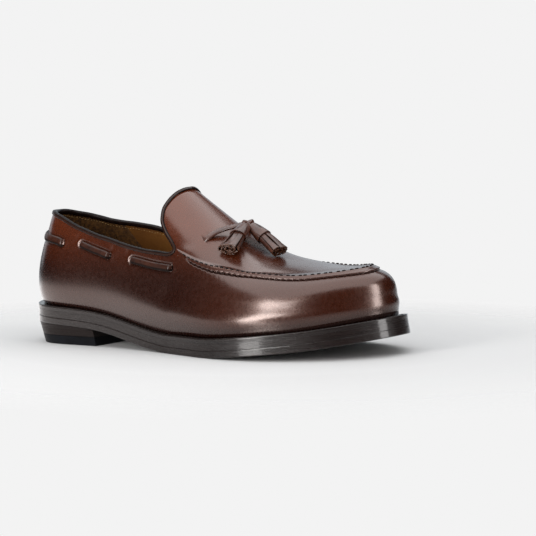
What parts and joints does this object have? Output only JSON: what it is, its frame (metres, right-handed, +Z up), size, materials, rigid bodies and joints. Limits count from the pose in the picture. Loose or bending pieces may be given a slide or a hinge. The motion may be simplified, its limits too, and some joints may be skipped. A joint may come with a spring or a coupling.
{
  "type": "tassel loafer",
  "caption": "Slip-on leather dress shoe with a raised apron seam, a lace threaded round the collar, a tasselled knot on the vamp and a stacked heel.",
  "frame": {"origin": "middle of the heel's resting face, on the floor", "axes": "+X towards the toe, +Y towards the inner side of the foot, +Z up"},
  "size_m": [0.3007, 0.1072, 0.1075],
  "materials": {
    "calf_leather": "polished burnished calf, semi-gloss",
    "binding_leather": "rolled dark leather edge, satin",
    "lace_leather": "rolled leather thong, satin",
    "lining_leather": "unglazed lining leather, matt",
    "sole_leather": "waxed and inked sole edge, satin",
    "heel_rubber": "blue-black moulded rubber, matt"
  },
  "bodies": {
    "root": {"upper": "calf_leather", "topline_binding": "binding_leather", "welt": "sole_leather", "midsole": "sole_leather", "outsole": "sole_leather", "heel_lift_upper": "sole_leather", "heel_lift_lower": "sole_leather", "heel_top_piece": "heel_rubber", "insole": "lining_leather", "lace_bar_heel": "lace_leather", "lace_bar_outer_rear": "lace_leather", "lace_bar_outer_front": "lace_leather", "lace_bar_inner_rear": "lace_leather", "lace_bar_inner_front": "lace_leather", "lace_thong_outer": "lace_leather", "lace_thong_inner": "lace_leather", "lace_knot": "lace_leather", "tassel_outer": "lace_leather", "tassel_inner": "lace_leather"}
  },
  "joints": []
}
